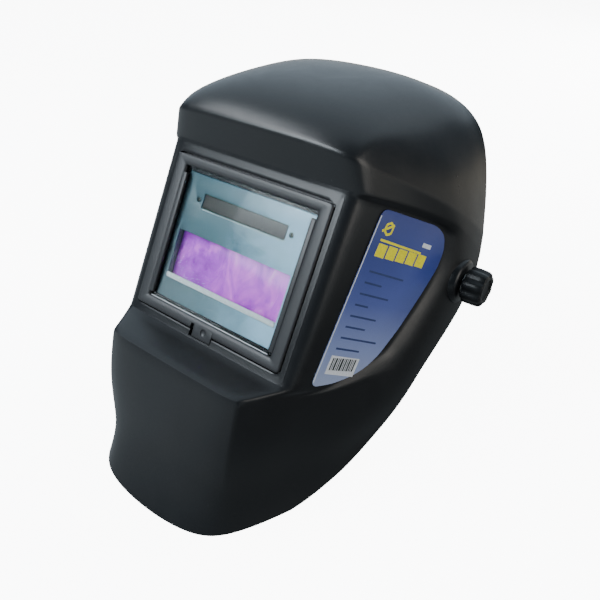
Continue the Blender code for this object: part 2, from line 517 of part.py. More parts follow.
def nape_ratchet():
    for name, side in (("left", 1), ("right", -1)):
        rack_strap(f"nape_strap_{name}", side)
    housing = curved_block("ratchet_housing", 75.6, 83.4, -13.5, 13.5, 0.36, DARK)
    channel = bmesh.new()
    ends = [(channel.verts.new((x, y, -10.6)), channel.verts.new((x, y, 10.6)))
            for x, y in arc(77.6, -0.5, 0.5, 11)]
    outer = [(channel.verts.new((x, y, -10.6)), channel.verts.new((x, y, 10.6)))
             for x, y in arc(90.0, -0.5, 0.5, 11)]
    for i in range(10):
        a, b, c, d = ends[i], ends[i + 1], outer[i], outer[i + 1]
        channel.faces.new((a[0], b[0], b[1], a[1]))
        channel.faces.new((c[0], c[1], d[1], d[0]))
        channel.faces.new((a[0], c[0], d[0], b[0]))
        channel.faces.new((a[1], b[1], d[1], c[1]))
    for i in (0, 10):
        channel.faces.new((ends[i][0], ends[i][1], outer[i][1], outer[i][0]))
    cut(housing, channel)
    cover = curved_block("ratchet_cover", 83.8, 85.8, -13.5, 13.5, 0.36, DARK)
    cut(cover, rod_mesh(4.5, 70, 100, "Y", 20))
    curved_block("nape_pad", 70.0, 75.2, -13.0, 13.0, 0.40, FOAM)
    knob_start = 86.4
    knob_end = KNOB_BACK - NAPE_Y
    knob = add("ratchet_knob", fluted_mesh(KNOB_R, 0.9, 16, 64, knob_start, knob_end), BLACK, NAPE,
               turn=(0, 0, math.pi / 2))
    bevelled(knob, KNOB_BEVEL, 2, 50)
    shaft = add("ratchet_pinion", pinion_mesh(), STEEL, NAPE)
    join(shaft, rod_mesh(3.0, NAPE_R + 1.0, knob_start + 6, "Y", 16))
    cut(knob, rod_mesh(3.3, NAPE_R, knob_start + 6.6, "Y", 16))


shell()
for side in (-1, 1):
    label(side)
lens_frame()
filter_cartridge()
head_band()
crown()
for name, side in (("left", 1), ("right", -1)):
    side_fittings(name, side)
nape_ratchet()
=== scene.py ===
"""Looks of the welding helmet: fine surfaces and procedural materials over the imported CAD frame."""

import json
import math

import bmesh
import bpy
from mathutils import Matrix, Vector


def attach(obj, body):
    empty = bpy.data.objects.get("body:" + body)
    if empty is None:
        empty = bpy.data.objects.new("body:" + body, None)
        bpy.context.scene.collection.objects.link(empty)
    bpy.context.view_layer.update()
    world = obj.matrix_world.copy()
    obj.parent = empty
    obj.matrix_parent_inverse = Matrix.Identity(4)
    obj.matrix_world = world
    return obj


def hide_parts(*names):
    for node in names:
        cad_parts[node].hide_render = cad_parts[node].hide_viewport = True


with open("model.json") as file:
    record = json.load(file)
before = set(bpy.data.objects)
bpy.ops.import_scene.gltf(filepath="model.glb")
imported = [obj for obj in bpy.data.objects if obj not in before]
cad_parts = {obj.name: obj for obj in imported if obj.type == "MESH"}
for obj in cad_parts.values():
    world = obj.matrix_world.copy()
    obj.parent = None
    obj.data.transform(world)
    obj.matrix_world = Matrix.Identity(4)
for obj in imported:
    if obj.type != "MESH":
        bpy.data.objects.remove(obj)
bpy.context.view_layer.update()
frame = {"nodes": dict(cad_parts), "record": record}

MM = 0.001
LEAN = math.radians(30.57)
HARNESS_LEAN = math.radians(41.777)
BENCH = Matrix.Translation((0, -0.0767, 0.157)) @ Matrix.Rotation(-LEAN, 4, "X")
PIVOT = Vector((0, 0.0436, 0.12078))
HARNESS = Matrix.Translation(PIVOT) @ Matrix.Rotation(-HARNESS_LEAN, 4, "X")
NAPE = HARNESS @ Matrix.Translation((0, 0.061, 0))
NODE_BODY = {node: body for body, nodes in frame["record"]["behaviour"]["bodies"].items() for node in nodes}
NODE_SLOT = {part["node"]: part["material_slot"] for part in frame["record"]["subparts"]}
FINE = 3

# The shell's control cage, wearer's left half: one row to a line from crown to lip, in millimetres
# from the middle of the window panel (X left, Y back, Z up).
CAGE = {
    "crown edge": [(0, 106, 158.5), (22, 106, 158), (40, 106, 156.5), (53, 106, 154.5), (62, 106.5, 152.5),
                   (70, 107.5, 150), (77, 109, 147), (83, 110.5, 143.5), (88, 112.5, 139.5),
                   (93, 115.5, 134)],
    "crown rear": [(0, 84, 156), (25, 84, 155.5), (46, 84, 153), (60, 85, 149.5), (69, 86, 146),
                   (77, 89, 142), (84, 94, 136.5), (90, 100, 131), (95, 108, 126), (99, 118.5, 123.5)],
    "crown middle": [(0, 52, 142.5), (28, 52, 141.5), (50, 52, 138), (63, 53, 132.5), (73, 57, 128),
                     (82, 66, 124), (90, 78, 119), (96, 90, 115), (101, 104, 112), (104, 122, 110)],
    "crown front": [(0, 14, 121), (34, 14, 120), (57, 15, 115.5), (69, 19, 110), (79, 30, 106.5),
                    (88, 46, 104.5), (97, 66, 102), (102, 85, 100), (106, 105, 98), (108, 127, 95)],
    "over the brow": [(0, -8, 100.5), (36, -8, 100), (61, -6.5, 97), (73.5, -1, 94.5), (79.5, 14, 93),
                      (90, 38, 92), (100.5, 66, 90), (106, 88, 87), (109.5, 109, 84), (111.5, 130.5, 80)],
    "brow ridge": [(0, -13.5, 84), (36, -13, 84), (62, -11.5, 83.5), (75, -6, 82.5), (81, 9, 81),
                   (91, 36, 79.5), (103, 70, 77.5), (109, 93, 74.5), (113, 115, 71), (114.5, 134, 66)],
    "brow foot": [(0, -0.6, 64.6), (38, -0.6, 64.6), (66, -0.4, 64.6), (79.5, 3, 64.8), (84, 14, 65.8),
                  (94.5, 50, 68), (106.5, 86, 67.5), (111, 99, 65), (114.5, 119, 60), (116, 138, 53)],
    "panel top": [(0, 0, 62), (38, 0, 62), (66, 0, 62), (77.5, 3, 62), (82.4, 17, 63),
                  (92.6, 51, 64), (103.5, 87.5, 62), (111.5, 99.5, 57), (115.3, 120, 48), (116.8, 140, 42)],
    "panel upper": [(0, 0, 28), (38, 0, 28), (66, 0, 28), (77.5, 3, 28), (82.2, 18.5, 30),
                    (94.5, 60, 36), (105.7, 97, 38), (113, 105.5, 38), (116.5, 121.5, 33),
                    (117.4, 139.5, 27)],
    "panel lower": [(0, 0, -22), (38, 0, -22), (66, 0, -22), (77.3, 3, -22), (81.4, 18.5, -20),
                    (92.4, 55, -9), (103, 90, 9), (110.5, 98, 8), (114.8, 115, 8), (117, 133, 5)],
    "panel foot": [(0, 0, -62.3), (38, 0, -62.3), (66, 0, -62.3), (77, 3, -62.3), (80, 17.5, -62.3),
                   (87.2, 41, -57), (97.6, 74, -30), (107.5, 87.5, -22), (112.8, 104, -18),
                   (115.5, 123, -16)],
    "chin ridge": [(0, -26.5, -75), (30, -26.3, -75), (49, -25.5, -75), (58, -22.5, -75),
                   (70.5, -3.5, -71.5), (86, 33, -63.5), (101, 73, -44), (107, 86, -40), (111.5, 99, -40),
                   (113.5, 112, -40)],
    "chin middle": [(0, -19, -112), (28, -18.7, -112), (48, -17.7, -112), (58.3, -14.5, -111), (69, 1, -108),
                    (80, 26, -101), (91.5, 50, -91), (100, 69, -83), (106.5, 88, -75), (110.5, 105, -67)],
    "over the lip": [(0, -4, -150), (24, -3.5, -150), (43, -1.5, -149), (54, 2.5, -147.5), (64, 14, -142),
                     (74, 33, -133.5), (84, 51, -123), (91.5, 66, -113), (98, 81, -103), (104.5, 96, -92)],
    "lip": [(0, -6, -188), (22, -5, -187.5), (42, -1.5, -185.5), (56, 5, -181.5), (66, 16, -175),
            (75, 30, -166.8), (82.5, 45, -156.5), (88.5, 58, -145), (93.5, 70, -132), (98, 81, -119)],
}
ROW_CREASES = {"brow ridge": 0.66, "brow foot": 0.8, "panel top": 0.8, "panel foot": 0.85,
               "chin ridge": 0.78}
COLUMN_CREASES = (
    {"column": 3, "rows": ("chin ridge", "chin middle", "over the lip"), "sharpness": 0.6},
    {"column": 6, "rows": ("panel top", "panel upper", "panel lower", "panel foot"), "sharpness": 0.85},
)

RECESS_W, RECESS_TOP, RECESS_FOOT, RECESS_DEPTH = 132.8, 55.4, -55.8, 4.2
OPENING_W, OPENING_TOP, OPENING_FOOT = 113.0, 47.6, -47.8
TRAY_W, TRAY_TOP, TRAY_FOOT = 111.2, 45.3, -45.9
FRAME_GAP = 0.7
NOTCH_RIGHT, NOTCH_LEFT, NOTCH_FOOT, NOTCH_DEPTH = -11.4, 8.9, -60.4, 3.4
SCREW_X, SCREW_R = 64, 1.9
WALL = 2.5

# Where the tip pivots pass through the shell's sides.
HUB = BENCH @ Matrix.Translation((0, 0.122, 0.030))
SHELL_IN_X, SHELL_OUT_X = 90, 130
BOLT_R, WASHER_R, PLATE_RELIEF_R = 4.0, 14.2, 18.8

LABEL_LIFT, LABEL_T, PRINT_LIFT, PRINT_T = 0.45, 0.45, 0.88, 0.05


# ---------------------------------------------------------------- materials

def grow(tree, kind, inputs=None, **settings):
    """A new node: its settings, and inputs that are sockets to link or plain values."""
    made = tree.nodes.new(kind)
    for key, value in settings.items():
        setattr(made, key, value)
    for key, value in (inputs or {}).items():
        if isinstance(value, bpy.types.NodeSocket):
            tree.links.new(value, made.inputs[key])
        else:
            made.inputs[key].default_value = value
    return made


def ramped(tree, value, stops):
    made = grow(tree, "ShaderNodeValToRGB", {"Fac": value})
    points = made.color_ramp.elements
    while len(points) < len(stops):
        points.new(0.5)
    for point, (position, colour) in zip(points, stops):
        point.position, point.color = position, (*colour, 1)
    return made.outputs["Color"]


class Look:
    """A material's node tree, with short calls to grow it."""

    def __init__(self, name, **sockets):
        self.material = bpy.data.materials.new(name)
        self.material.use_nodes = True
        self.tree = self.material.node_tree
        self.shader = self.tree.nodes["Principled BSDF"]
        for socket, value in sockets.items():
            self.shader.inputs[socket.replace("_", " ")].default_value = value
        self.place = self.node("ShaderNodeTexCoord").outputs["Object"]

    def node(self, kind, inputs=None, **settings):
        return grow(self.tree, kind, inputs, **settings)

    def noise(self, scale, detail=3.0, roughness=0.55, distortion=0.0, at=None):
        inputs = {"Vector": at or self.place, "Scale": scale, "Detail": detail, "Roughness": roughness,
                  "Distortion": distortion}
        return self.node("ShaderNodeTexNoise", inputs).outputs["Fac"]

    def cells(self, scale, feature="F1", randomness=1.0):
        inputs = {"Vector": self.place, "Scale": scale, "Randomness": randomness}
        return self.node("ShaderNodeTexVoronoi", inputs, feature=feature).outputs["Distance"]

    def span(self, value, low, high, to_low=0.0, to_high=1.0):
        return self.node("ShaderNodeMapRange", {"Value": value, "From Min": low, "From Max": high,
                                                "To Min": to_low, "To Max": to_high}).outputs["Result"]

    def ramp(self, value, *stops):
        return ramped(self.tree, value, stops)

    def mix(self, factor, a, b):
        return self.node("ShaderNodeMix", {"Factor": factor, "A": a, "B": b}, data_type="RGBA").outputs[2]

    def math(self, operation, a, b):
        return self.node("ShaderNodeMath", {0: a, 1: b}, operation=operation).outputs[0]

    def axis(self, name):
        return self.node("ShaderNodeSeparateXYZ", {0: self.place}).outputs[name]

    def set(self, socket, value):
        self.tree.links.new(value, self.shader.inputs[socket])

    def bump(self, height, strength, distance):
        made = self.node("ShaderNodeBump", {"Height": height, "Strength": strength, "Distance": distance})
        previous = self.shader.inputs["Normal"]
        if previous.is_linked:
            self.tree.links.new(previous.links[0].from_socket, made.inputs["Normal"])
        self.set("Normal", made.outputs["Normal"])


def moulded(name, dark, light, rough, grain=1.0, specular=0.5, dust=0.0):
    """Moulded plastic: fine spark grain, slow flow marks, and a little dust where dust is above 0."""
    look = Look(name, Specular_IOR_Level=specular)
    flow = look.noise(14, 4, 0.6, 0.6)
    colour = look.ramp(flow, (0.3, dark), (0.72, light))
    if dust:
        specks = look.span(look.noise(900, 2, 0.4), 0.70, 0.76)
        colour = look.mix(look.math("MULTIPLY", specks, dust), colour, (0.25, 0.25, 0.25, 1))
    look.set("Base Color", colour)
    smear = look.noise(38, 5, 0.62, 1.2)
    look.set("Roughness", look.span(smear, 0.25, 0.8, rough - 0.05, rough + 0.07))
    look.bump(look.noise(2600, 2, 0.6), 0.16 * grain, 0.00025)
    look.bump(look.noise(420, 3, 0.6), 0.05 * grain, 0.0006)
    return look.material


def metal(name, colour, rough):
    look = Look(name, Metallic=1.0)
    wear = look.noise(60, 5, 0.65)
    look.set("Base Color", look.ramp(wear, (0.3, tuple(c * 0.8 for c in colour)), (0.7, colour)))
    look.set("Roughness", look.span(look.noise(180, 4), 0.3, 0.7, rough - 0.06, rough + 0.1))
    look.bump(look.noise(1600, 2), 0.05, 0.0002)
    return look.material


def shell_look():
    look = Look("black_shell", Specular_IOR_Level=0.42)
    flow = look.noise(9, 4, 0.6, 0.8)
    colour = look.ramp(flow, (0.3, (0.0075, 0.0080, 0.0090)), (0.7, (0.0105, 0.0108, 0.0115)))
    specks = look.span(look.noise(1100, 2, 0.4), 0.72, 0.78)
    colour = look.mix(look.math("MULTIPLY", specks, 0.10), colour, (0.2, 0.2, 0.2, 1))
    look.set("Base Color", colour)
    smear = look.noise(26, 6, 0.62, 1.6)
    look.set("Roughness", look.span(smear, 0.25, 0.8, 0.27, 0.37))
    look.bump(look.noise(2200, 2, 0.6), 0.14, 0.0003)
    look.bump(look.noise(330, 3, 0.6), 0.04, 0.0008)
    return look.material


def label_look():
    look = Look("printed_film", Specular_IOR_Level=0.5, Coat_Weight=0.25, Coat_Roughness=0.2)
    height = look.axis("Z")
    blue = look.ramp(look.span(height, -0.060, 0.063),
                     (0.0, (0.42, 0.49, 0.68)), (0.22, (0.27, 0.33, 0.60)), (0.5, (0.090, 0.12, 0.36)),
                     (0.75, (0.034, 0.055, 0.24)), (1.0, (0.020, 0.036, 0.19)))
    print_dots = look.span(look.cells(1500), 0.1, 0.6, 0.94, 1.04)
    look.set("Base Color", look.node("ShaderNodeVectorMath", {0: blue, "Scale": print_dots},
                                     operation="SCALE").outputs[0])
    look.set("Roughness", look.span(look.noise(70, 4), 0.3, 0.7, 0.30, 0.42))
    look.bump(look.noise(500, 3), 0.05, 0.0004)
    return look.material


def ink(name, colour, rough=0.4):
    look = Look(name, Specular_IOR_Level=0.4)
    worn = look.noise(700, 3, 0.6)
    look.set("Base Color", look.ramp(worn, (0.3, tuple(c * 0.82 for c in colour)), (0.65, colour)))
    look.set("Roughness", look.span(worn, 0.3, 0.7, rough - 0.06, rough + 0.08))
    return look.material


def clear_look(name, tint, rough):
    look = Look(name, Transmission_Weight=1.0, IOR=1.12, Coat_Weight=0.3, Coat_IOR=1.30, Coat_Roughness=0.22)
    haze = look.noise(45, 5, 0.65, 1.0)
    look.set("Base Color", look.ramp(haze, (0.3, tuple(c * 0.97 for c in tint)), (0.7, tint)))
    scratch = look.noise(9, 8, 0.75, 2.5)
    look.set("Roughness", look.span(scratch, 0.35, 0.75, rough, rough + 0.07))
    look.bump(look.noise(22, 2), 0.04, 0.002)
    return look.material


def filter_face_painted_reflection_look():
    """Teal-grey printed face under the lens, with a painted reflection that makes it paler towards its top
    left corner.
    """
    look = Look("filter_face", Specular_IOR_Level=0.35)
    # Painted reflection: the colour climbs towards the top left corner, clouded by noise, from the face's
    # own dark teal up to pale sky blue.
    reflection_across = look.span(look.axis("X"), -0.055, 0.055)
    up = look.span(look.axis("Z"), -0.045, 0.045)
    reflection_rise = look.math("ADD", look.math("MULTIPLY", reflection_across, 0.45), look.math("MULTIPLY", up, 0.55))
    reflection_cloud = look.math("MULTIPLY", look.span(look.noise(26, 6, 0.7, 1.5), 0.35, 0.7), 0.10)
    colour = look.ramp(look.math("ADD", reflection_rise, reflection_cloud),
                       (0.12, (0.028, 0.052, 0.060)), (0.50, (0.042, 0.076, 0.088)),
                       (0.80, (0.10, 0.19, 0.235)), (1.0, (0.34, 0.55, 0.70)))
    look.set("Base Color", colour)
    look.set("Roughness", look.span(look.noise(80, 4), 0.3, 0.7, 0.26, 0.4))
    look.bump(look.noise(900, 2), 0.06, 0.0003)
    return look.material


def violet_look():
    """Interference coating on the welding glass: pink to violet, with a painted reflection as soft slanting
    streaks and a pinker side.
    """
    look = Look("coated_glass", Specular_IOR_Level=0.35)
    turned = look.node("ShaderNodeMapping", {"Vector": look.place, "Rotation": (0, math.radians(32), 0),
                                             "Scale": (1.0, 1.0, 0.28)}).outputs[0]
    # Painted reflection: the slanting streaks and the pinker side towards one edge stand in for the sky
    # reflected in the glass.
    reflection_streak = look.noise(60, 4, 0.6, 1.2, turned)
    fine = look.math("MULTIPLY", look.noise(420, 2), 0.14)
    reflection_across = look.math("MULTIPLY", look.span(look.axis("X"), -0.05, 0.05), 0.40)
    value = look.math("ADD", look.math("ADD", look.span(reflection_streak, 0.35, 0.68, 0.0, 0.5), reflection_across), fine)
    colour = look.ramp(value, (0.10, (0.34, 0.04, 0.56)), (0.40, (0.60, 0.08, 0.80)),
                       (0.70, (0.94, 0.17, 0.98)), (1.0, (1.0, 0.42, 1.0)))
    look.set("Base Color", colour)
    look.set("Roughness", look.span(look.noise(50, 3), 0.3, 0.7, 0.16, 0.28))
    return look.material


def solar_look():
    look = Look("amorphous_silicon", Specular_IOR_Level=0.25)
    stripes = look.math("MODULO", look.math("ADD", look.axis("X"), 0.1), 0.009)
    line = look.span(stripes, 0.0, 0.0006)
    shade = look.ramp(look.noise(70, 4), (0.3, (0.045, 0.043, 0.041)), (0.7, (0.068, 0.064, 0.060)))
    look.set("Base Color", look.mix(line, (0.10, 0.09, 0.085, 1), shade))
    look.set("Roughness", look.span(look.noise(120, 3), 0.3, 0.7, 0.38, 0.48))
    return look.material


def board_look():
    look = Look("solder_mask", Specular_IOR_Level=0.5, Roughness=0.4)
    tracks = look.span(look.cells(260, "DISTANCE_TO_EDGE"), 0.02, 0.05)
    look.set("Base Color", look.mix(tracks, (0.10, 0.30, 0.10, 1), (0.012, 0.085, 0.035, 1)))
    look.bump(tracks, 0.3, 0.0001)
    return look.material


def foam_look(name, dark, light, holes=True):
    """Soft knitted cover over foam, with rows of breathing holes where holes is set: the holes are bumps,
    and their near-black insides are painted shade.
    """
    look = Look(name, Specular_IOR_Level=0.2, Sheen_Weight=0.35, Sheen_Roughness=0.5, Roughness=0.92)
    weave = look.cells(1300)
    pile = look.noise(60, 5, 0.7)
    colour = look.ramp(look.math("ADD", look.math("MULTIPLY", weave, 0.4), look.math("MULTIPLY", pile, 0.6)),
                       (0.25, dark), (0.65, light))
    if holes:
        # The holes are only bumped; their near-black colour is painted shade inside them.
        hole_bump_and_painted_shade = look.span(look.cells(150, randomness=0.0), 0.16, 0.22)
        colour = look.mix(hole_bump_and_painted_shade, (0.003, 0.003, 0.003, 1), colour)
        look.bump(hole_bump_and_painted_shade, 0.9, 0.0012)
    look.set("Base Color", colour)
    look.bump(weave, 0.5, 0.0005)
    look.bump(pile, 0.2, 0.001)
    return look.material


SHELL = shell_look()
FRAME = moulded("satin_nylon", (0.018, 0.0185, 0.020), (0.026, 0.027, 0.029), 0.42, specular=0.45)
GEAR = moulded("harness_polyethylene", (0.020, 0.021, 0.023), (0.032, 0.033, 0.036), 0.42, 0.6)
GRIP = moulded("knob_nylon", (0.0045, 0.005, 0.0056), (0.0075, 0.008, 0.009), 0.40, 1.2, specular=0.3,
                dust=0.04)
INNER = moulded("filter_case", (0.016, 0.017, 0.018), (0.026, 0.027, 0.029), 0.4)
BEZEL = moulded("bezel_plastic", (0.055, 0.075, 0.085), (0.075, 0.10, 0.115), 0.45)
RUBBER = moulded("washer_rubber", (0.012, 0.012, 0.012), (0.022, 0.022, 0.022), 0.75, 1.5)
LABEL = label_look()
YELLOW = ink("yellow_ink", (0.95, 0.84, 0.005))
NAVY = ink("navy_ink", (0.035, 0.055, 0.16))
PALE = ink("pale_ink", (0.80, 0.82, 0.86))
BLACK_INK = ink("black_ink", (0.02, 0.02, 0.022))
LENS = clear_look("cover_polycarbonate", (0.94, 0.98, 0.98), 0.06)
INNER_LENS = clear_look("inner_polycarbonate", (0.95, 0.97, 0.97), 0.05)
# The filter face's material: its pale top corner is a painted reflection.
FACE_WITH_PAINTED_REFLECTION = filter_face_painted_reflection_look()
VIOLET = violet_look()
SOLAR = solar_look()
BOARD = board_look()
SEALANT = ink("sealant", (0.70, 0.74, 0.74), 0.5)
# Made with ink(), but this colour is a painted highlight: a pale line by the solar cell.
EDGE_LIGHT = ink("painted_highlight_line", (0.42, 0.52, 0.56), 0.4)
SHUTTER = ink("shutter_glass", (0.030, 0.045, 0.035), 0.15)
STEEL = metal("zinc_plate", (0.58, 0.58, 0.55), 0.34)
NICKEL = metal("nickel_plate", (0.72, 0.70, 0.66), 0.2)
BRASS = metal("brass_insert", (0.78, 0.58, 0.27), 0.3)
FOAM = foam_look("sweatband_cloth", (0.010, 0.010, 0.011), (0.040, 0.040, 0.043))
PAD = foam_look("nape_cloth", (0.012, 0.012, 0.013), (0.045, 0.045, 0.048), holes=False)


# ---------------------------------------------------------------- mesh helpers

def thing(name, bm, place, closed=True):
    """A new object from a bmesh drawn in millimetres in the frame that place gives."""
    bmesh.ops.scale(bm, vec=(MM, MM, MM), verts=bm.verts)
    if closed:
        bmesh.ops.recalc_face_normals(bm, faces=bm.faces)
    mesh = bpy.data.meshes.new(name)
    bm.to_mesh(mesh)
    bm.free()
    obj = bpy.data.objects.new(name, mesh)
    bpy.context.scene.collection.objects.link(obj)
    obj.matrix_world = place
    return obj


def settled(obj, sharp=38.0):
    """Applies every modifier and shades the result smooth up to a sharp angle."""
    bpy.context.view_layer.update()
    graph = bpy.context.evaluated_depsgraph_get()
    mesh = bpy.data.meshes.new_from_object(obj.evaluated_get(graph))
    obj.modifiers.clear()
    obj.data = mesh
    mesh.polygons.foreach_set("use_smooth", [True] * len(mesh.polygons))
    mesh.set_sharp_from_angle(angle=math.radians(sharp))
    return obj


def piece(obj, body, material, slot, *replaced):
    obj.data.materials.clear()
    obj.data.materials.append(material)
    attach(obj, body)
    if replaced:
        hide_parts(*replaced)


def bevel(obj, width, segments=2, angle=35.0):
    step = obj.modifiers.new("rounded", "BEVEL")
    step.width = width * MM
    step.segments = segments
    step.limit_method = "ANGLE"
    step.angle_limit = math.radians(angle)
    step.use_clamp_overlap = True


def boolean(obj, helpers, operation, bm, place):
    """Adds or takes away bm, drawn in place's frame; the helper objects are removed once obj is settled."""
    helper = thing("helper", bm, place)
    helper.hide_render = True
    step = obj.modifiers.new(operation.lower(), "BOOLEAN")
    step.operation, step.object, step.solver = operation, helper, "EXACT"
    helpers.append(helper)


def removed(helpers):
    for helper in helpers:
        bpy.data.objects.remove(helper)


def block(low, high):
    bm = bmesh.new()
    bmesh.ops.create_cube(bm, size=1.0)
    low, high = Vector(low), Vector(high)
    bmesh.ops.scale(bm, vec=high - low, verts=bm.verts)
    bmesh.ops.translate(bm, vec=(low + high) / 2, verts=bm.verts)
    return bm


def turned(profile, axis="Y", sides=48, at=(0, 0, 0), waves=None):
    """A solid of revolution from (radius, along) pairs; waves(angle, radius) may reshape its rim."""
    bm = bmesh.new()
    rings = []
    for radius, along in profile:
        ring = []
        for k in range(sides):
            angle = 2 * math.pi * k / sides
            r = waves(angle, radius) if waves else radius
            u, v = r * math.cos(angle), r * math.sin(angle)
            point = {"Y": (u, along, v), "X": (along, u, v), "Z": (u, v, along)}[axis]
            ring.append(bm.verts.new(Vector(point) + Vector(at)))
        rings.append(ring)
    for a, b in zip(rings, rings[1:]):
        for k in range(sides):
            n = (k + 1) % sides
            bm.faces.new((a[k], a[n], b[n], b[k]))
    bm.faces.new(rings[0])
    bm.faces.new(rings[-1][::-1])
    return bm


def rectangle(half, top, foot, radius, corner=5):
    """(x, z) points round a rectangle with rounded corners."""
    points = []
    for cx, cz, start in ((half - radius, top - radius, 0), (-half + radius, top - radius, 90),
                          (-half + radius, foot + radius, 180), (half - radius, foot + radius, 270)):
        for k in range(corner + 1):
            angle = math.radians(start + 90 * k / corner)
            points.append((cx + radius * math.cos(angle), cz + radius * math.sin(angle)))
    return points


def loft(sections, closed_ring=False):
    """Skins rounded rectangles (half, top, foot, radius, y) one to the next, into a plug or a ring."""
    bm = bmesh.new()
    loops = [[bm.verts.new((x, y, z)) for x, z in rectangle(half, top, foot, radius)]
             for half, top, foot, radius, y in sections]
    pairs = list(zip(loops, loops[1:]))
    if closed_ring:
        pairs.append((loops[-1], loops[0]))
    for a, b in pairs:
        for k in range(len(a)):
            n = (k + 1) % len(a)
            bm.faces.new((a[k], a[n], b[n], b[k]))
    if not closed_ring:
        bm.faces.new(loops[0])
        bm.faces.new(loops[-1])
    return bm


def refined(node, width, material, name=None, sharp=38.0, segments=2):
    """A CAD node's own shape with its edges rounded by width millimetres, in its own material."""
    bm = bmesh.new()
    bm.from_mesh(frame["nodes"][node].data)
    bmesh.ops.remove_doubles(bm, verts=bm.verts, dist=2e-6)
    bmesh.ops.dissolve_limit(bm, angle_limit=math.radians(1.0), verts=bm.verts, edges=bm.edges)
    bmesh.ops.scale(bm, vec=(1 / MM,) * 3, verts=bm.verts)
    obj = thing(name or f"{node}_skin", bm, Matrix.Identity(4))
    if width:
        bevel(obj, width, segments)
    settled(obj, sharp)
    piece(obj, NODE_BODY[node], material, NODE_SLOT[node], node)


# ---------------------------------------------------------------- shell side

def shell_surface():
    """Both halves of the cage, subdivided and given the wall's thickness."""
    bm = bmesh.new()
    crease = bm.edges.layers.float.new("crease_edge")
    rows = {name: [bm.verts.new(point) for point in row] for name, row in CAGE.items()}
    names = list(CAGE)
    for upper, lower in zip(names, names[1:]):
        a, b = rows[upper], rows[lower]
        for j in range(len(a) - 1):
            bm.faces.new((a[j], b[j], b[j + 1], a[j + 1]))
    for name, sharpness in ROW_CREASES.items():
        for p, q in zip(rows[name], rows[name][1:]):
            bm.edges.get((p, q))[crease] = sharpness
    for line in COLUMN_CREASES:
        points = [rows[name][line["column"]] for name in line["rows"]]
        for p, q in zip(points, points[1:]):
            bm.edges.get((p, q))[crease] = line["sharpness"]
    obj = thing("shell_skin", bm, BENCH, closed=False)
    mirror = obj.modifiers.new("both sides", "MIRROR")
    mirror.merge_threshold = 1e-5
    smooth = obj.modifiers.new("smooth", "SUBSURF")
    smooth.levels = smooth.render_levels = FINE
    wall = obj.modifiers.new("wall", "SOLIDIFY")
    wall.thickness = WALL * MM
    wall.offset = -1.0
    bevel(obj, 0.6, 2, 65)
    return settled(obj)


def window_recess(obj, helpers):
    """The flared recess that the lens frame lies in, its latch notch, screw holes and margin dimple."""
    half, top, foot = RECESS_W / 2, RECESS_TOP, RECESS_FOOT
    boolean(obj, helpers, "UNION", block((-half - 3.6, 1.3, foot - 3.6), (half + 3.6, 7, top + 3.6)), BENCH)
    flare = [(1.1, -8), (1.1, -0.06), (0.75, 0.10), (0.4, 0.36), (0.14, 0.75), (0, 1.3), (0, RECESS_DEPTH)]
    boolean(obj, helpers, "DIFFERENCE",
            loft([(half + d, top + d, foot - d, 3.0 + d, y) for d, y in flare]), BENCH)
    boolean(obj, helpers, "DIFFERENCE",
            loft([(TRAY_W / 2, TRAY_TOP, TRAY_FOOT, 2.0, y) for y in (-5, 20)]), BENCH)
    boolean(obj, helpers, "UNION", block((-15.2, 1.3, -65.0), (12.8, 7, foot - 1)), BENCH)
    boolean(obj, helpers, "DIFFERENCE",
            block((NOTCH_RIGHT, -5, NOTCH_FOOT), (NOTCH_LEFT, NOTCH_DEPTH, foot + 2)), BENCH)
    for side in (-1, 1):
        hole = turned(((SCREW_R, 4.8), (SCREW_R, 12)), "Y", 20, (side * SCREW_X, 0, 0))
        boolean(obj, helpers, "DIFFERENCE", hole, BENCH)
    dimple = [(0.1, -1.0), (2.0, -0.2), (1.7, 0.25), (1.1, 0.6), (0.1, 0.75)]
    boolean(obj, helpers, "DIFFERENCE", turned(dimple, "Y", 20, (70.9, 0, 1)), BENCH)


def pivot_seats(obj, helpers):
    """On each side: the raised seat, the washer's pocket, the bolt hole, the plate's relief and its stop."""
    for side in (-1, 1):
        seat = [(17.2, 112.0), (16.6, 115.6), (15.9, 116.5), (15.1, 117.1), (14.4, 117.4), (0.5, 117.5)]
        boolean(obj, helpers, "UNION", turned([(r, side * x) for r, x in seat], "X", 48), HUB)
        for radius, start, end, sides in ((WASHER_R, 100, 113.2, 40), (BOLT_R, SHELL_IN_X, SHELL_OUT_X, 28),
                                          (PLATE_RELIEF_R, 98, 110.4, 40)):
            bore = turned(((radius, side * start), (radius, side * end)), "X", sides)
            boolean(obj, helpers, "DIFFERENCE", bore, HUB)
        start, end = sorted((side * 108.2, side * 114.5))
        boolean(obj, helpers, "UNION", block((start, -0.2, 12.5), (end, 4.0, 16.5)), HARNESS)


def shell():
    obj = shell_surface()
    helpers = []
    window_recess(obj, helpers)
    pivot_seats(obj, helpers)
    boolean(obj, helpers, "DIFFERENCE", block((-200, -300, -100), (200, 300, 0)), Matrix.Identity(4))
    settled(obj)
    removed(helpers)
    obj.data.transform(BENCH)
    obj.matrix_world = Matrix.Identity(4)
    piece(obj, "face_shell", SHELL, "shell", "shell")


def label_x(y, z, lift):
    """How far out the side panel is at (y, z), plus lift."""
    return 76 + 0.3 * y + 0.02 * z + lift


def rounded_outline(points, cut, steps=5):
    """A polygon of (y, z) corners, each turned into a short curve that starts cut before it."""
    out = []
    for k, (y, z) in enumerate(points):
        here = Vector((y, z))
        before, after = Vector(points[k - 1]), Vector(points[(k + 1) % len(points)])
        reach = min(cut, 0.45 * (before - here).length, 0.45 * (after - here).length)
        a = here + (before - here).normalized() * reach
        b = here + (after - here).normalized() * reach
        for s in range(steps + 1):
            t = s / steps
            out.append(tuple(a * (1 - t) ** 2 + here * (2 * t * (1 - t)) + b * t ** 2))
    return out


